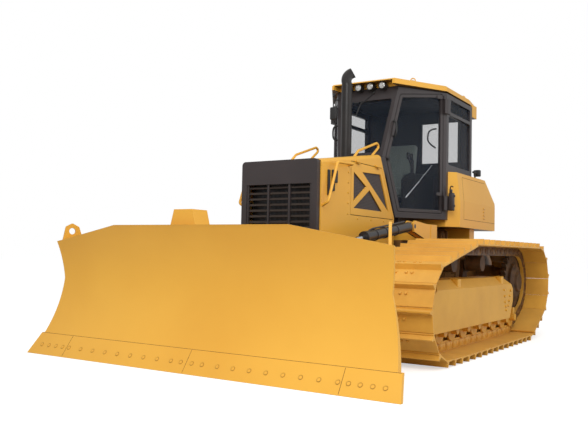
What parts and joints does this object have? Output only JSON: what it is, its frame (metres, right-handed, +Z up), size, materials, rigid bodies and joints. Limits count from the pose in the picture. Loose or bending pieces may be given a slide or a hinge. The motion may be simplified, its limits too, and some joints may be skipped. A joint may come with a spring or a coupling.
{
  "type": "crawler bulldozer",
  "caption": "Crawler bulldozer with wide tracks, a hydraulic angling and tilting blade on a push frame, sloping hood with vented doors, and a glazed cab ahead of a fuel tank.",
  "frame": {"origin": "on the ground, in the middle of the overall length and width", "axes": "+X towards the machine's left side, +Y towards its rear, +Z up"},
  "size_m": [3.96, 5.68, 3.1923],
  "materials": {
    "yellow_paint": "satin",
    "charcoal_paint": "satin",
    "cylinder_paint": "satin",
    "rod_chrome": "polished",
    "edge_steel": "satin",
    "tinted_glass": "clear",
    "lamp_glass": "matte",
    "seat_cover": "woven",
    "console_plastic": "matte",
    "screen_mesh": "matte",
    "engine_paint": "satin",
    "radiator_fins": "matte"
  },
  "bodies": {
    "chassis": {"cab_cross_walls": "charcoal_paint", "cab_floor": "charcoal_paint", "cab_glass": "tinted_glass", "cab_head_frame": "charcoal_paint", "cab_platform": "charcoal_paint", "cab_roof": "yellow_paint", "cab_side_frame_left": "charcoal_paint", "cab_side_frame_right": "charcoal_paint", "carrier_rollers": "yellow_paint", "consoles": "console_plastic", "cross_members": "yellow_paint", "drawbar": "yellow_paint", "engine_block": "engine_paint", "exhaust_stack": "charcoal_paint", "final_drives": "yellow_paint", "frame_trunnions": "yellow_paint", "grille": "charcoal_paint", "hood": "yellow_paint", "hood_rails": "yellow_paint", "hull": "yellow_paint", "idlers": "yellow_paint", "radiator": "radiator_fins", "radiator_guard": "charcoal_paint", "radiator_housing": "yellow_paint", "rear_body": "yellow_paint", "seat": "seat_cover", "sprockets": "yellow_paint", "support_beams": "yellow_paint", "track_frames": "yellow_paint", "track_left": "yellow_paint", "track_right": "yellow_paint", "track_rollers": "yellow_paint", "work_lamps": "lamp_glass"},
    "push_frame": {"push_frame": "yellow_paint"},
    "yoke": {"angle_yoke": "yellow_paint"},
    "blade": {"mouldboard": "yellow_paint", "blade_back": "yellow_paint", "cutting_edge": "edge_steel", "blade_lift_eyes": "yellow_paint"},
    "cab_door_left": {"door_left": "charcoal_paint", "door_glass_left": "tinted_glass"},
    "cab_door_right": {"door_right": "charcoal_paint", "door_glass_right": "tinted_glass"},
    "hood_door_left": {"engine_door_left": "yellow_paint", "engine_door_screen_left": "screen_mesh"},
    "hood_door_right": {"engine_door_right": "yellow_paint", "engine_door_screen_right": "screen_mesh"},
    "lift_barrel_left_body": {"lift_barrel_left": "cylinder_paint"},
    "lift_barrel_right_body": {"lift_barrel_right": "cylinder_paint"},
    "lift_rod_left_body": {"lift_rod_left": "rod_chrome"},
    "lift_rod_right_body": {"lift_rod_right": "rod_chrome"},
    "angle_barrel_left_body": {"angle_barrel_left": "cylinder_paint"},
    "angle_barrel_right_body": {"angle_barrel_right": "cylinder_paint"},
    "angle_rod_left_body": {"angle_rod_left": "rod_chrome"},
    "angle_rod_right_body": {"angle_rod_right": "rod_chrome"},
    "tilt_barrel_body": {"tilt_barrel": "cylinder_paint"},
    "tilt_rod_body": {"tilt_rod": "rod_chrome"}
  },
  "joints": [
    {"name": "blade_lift", "type": "hinge", "parent": "chassis", "child": "push_frame", "pos_m": [0, 0.44, 0.62], "axis": [-1, 0, 0], "range_deg": [-9, 18]},
    {"name": "blade_angle", "type": "hinge", "parent": "push_frame", "child": "yoke", "pos_m": [0, -2.2, 0.48], "axis": [0, 0, 1], "range_deg": [-24, 24]},
    {"name": "blade_tilt", "type": "hinge", "parent": "yoke", "child": "blade", "pos_m": [0, -2.44, 0.43], "axis": [0, 1, 0], "range_deg": [-7, 7]},
    {"name": "lift_barrel_left_swing", "type": "hinge", "parent": "chassis", "child": "lift_barrel_left_body", "pos_m": [0.78, 0.06, 1.345], "axis": [-1, 0, 0], "range_deg": [-11, 22]},
    {"name": "lift_rod_left_stroke", "type": "slide", "parent": "lift_barrel_left_body", "child": "lift_rod_left_body", "axis": [0, -0.9907, -0.1358], "range_m": [-0.235, 0.12]},
    {"name": "angle_barrel_left_swing", "type": "hinge", "parent": "push_frame", "child": "angle_barrel_left_body", "pos_m": [0.56, -1.25, 0.662], "axis": [0, 0, 1], "range_deg": [-4, 4]},
    {"name": "angle_rod_left_stroke", "type": "slide", "parent": "angle_barrel_left_body", "child": "angle_rod_left_body", "axis": [0.0557, -0.9984, 0], "range_m": [-0.26, 0.26]},
    {"name": "lift_barrel_right_swing", "type": "hinge", "parent": "chassis", "child": "lift_barrel_right_body", "pos_m": [-0.78, 0.06, 1.345], "axis": [-1, 0, 0], "range_deg": [-11, 22]},
    {"name": "lift_rod_right_stroke", "type": "slide", "parent": "lift_barrel_right_body", "child": "lift_rod_right_body", "axis": [0, -0.9907, -0.1358], "range_m": [-0.235, 0.12]},
    {"name": "angle_barrel_right_swing", "type": "hinge", "parent": "push_frame", "child": "angle_barrel_right_body", "pos_m": [-0.56, -1.25, 0.662], "axis": [0, 0, 1], "range_deg": [-4, 4]},
    {"name": "angle_rod_right_stroke", "type": "slide", "parent": "angle_barrel_right_body", "child": "angle_rod_right_body", "axis": [-0.0557, -0.9984, 0], "range_m": [-0.26, 0.26]},
    {"name": "tilt_barrel_swing", "type": "hinge", "parent": "yoke", "child": "tilt_barrel_body", "pos_m": [0.17, -2.345, 1.01], "axis": [0, 1, 0], "range_deg": [-7, 7]},
    {"name": "tilt_rod_stroke", "type": "slide", "parent": "tilt_barrel_body", "child": "tilt_rod_body", "axis": [0.9487, 0, -0.3162], "range_m": [-0.075, 0.075]},
    {"name": "cab_door_left_swing", "type": "hinge", "parent": "chassis", "child": "cab_door_left", "pos_m": [0.78986, 1.0321, 2.2], "axis": [0, 0, 1], "range_deg": [0, 85]},
    {"name": "cab_door_right_swing", "type": "hinge", "parent": "chassis", "child": "cab_door_right", "pos_m": [-0.78986, 1.0321, 2.2], "axis": [0, 0, -1], "range_deg": [0, 85]},
    {"name": "engine_door_left_lift", "type": "hinge", "parent": "chassis", "child": "hood_door_left", "pos_m": [0.478, -0.42, 2], "axis": [0, -1, 0], "range_deg": [0, 80]},
    {"name": "engine_door_right_lift", "type": "hinge", "parent": "chassis", "child": "hood_door_right", "pos_m": [-0.478, -0.42, 2], "axis": [0, 1, 0], "range_deg": [0, 80]}
  ],
  "couplings": [
    {"joint": "lift_barrel_left_swing", "follows": "blade_lift", "ratio": 1.19},
    {"joint": "lift_rod_left_stroke", "follows": "blade_lift", "m_per_rad": -0.73},
    {"joint": "angle_barrel_left_swing", "follows": "blade_angle", "ratio": 0.145},
    {"joint": "angle_rod_left_stroke", "follows": "blade_angle", "m_per_rad": -0.6005},
    {"joint": "lift_barrel_right_swing", "follows": "blade_lift", "ratio": 1.19},
    {"joint": "lift_rod_right_stroke", "follows": "blade_lift", "m_per_rad": -0.73},
    {"joint": "angle_barrel_right_swing", "follows": "blade_angle", "ratio": 0.145},
    {"joint": "angle_rod_right_stroke", "follows": "blade_angle", "m_per_rad": 0.6005},
    {"joint": "tilt_barrel_swing", "follows": "blade_tilt", "ratio": 0.973},
    {"joint": "tilt_rod_stroke", "follows": "blade_tilt", "m_per_rad": 0.602}
  ]
}
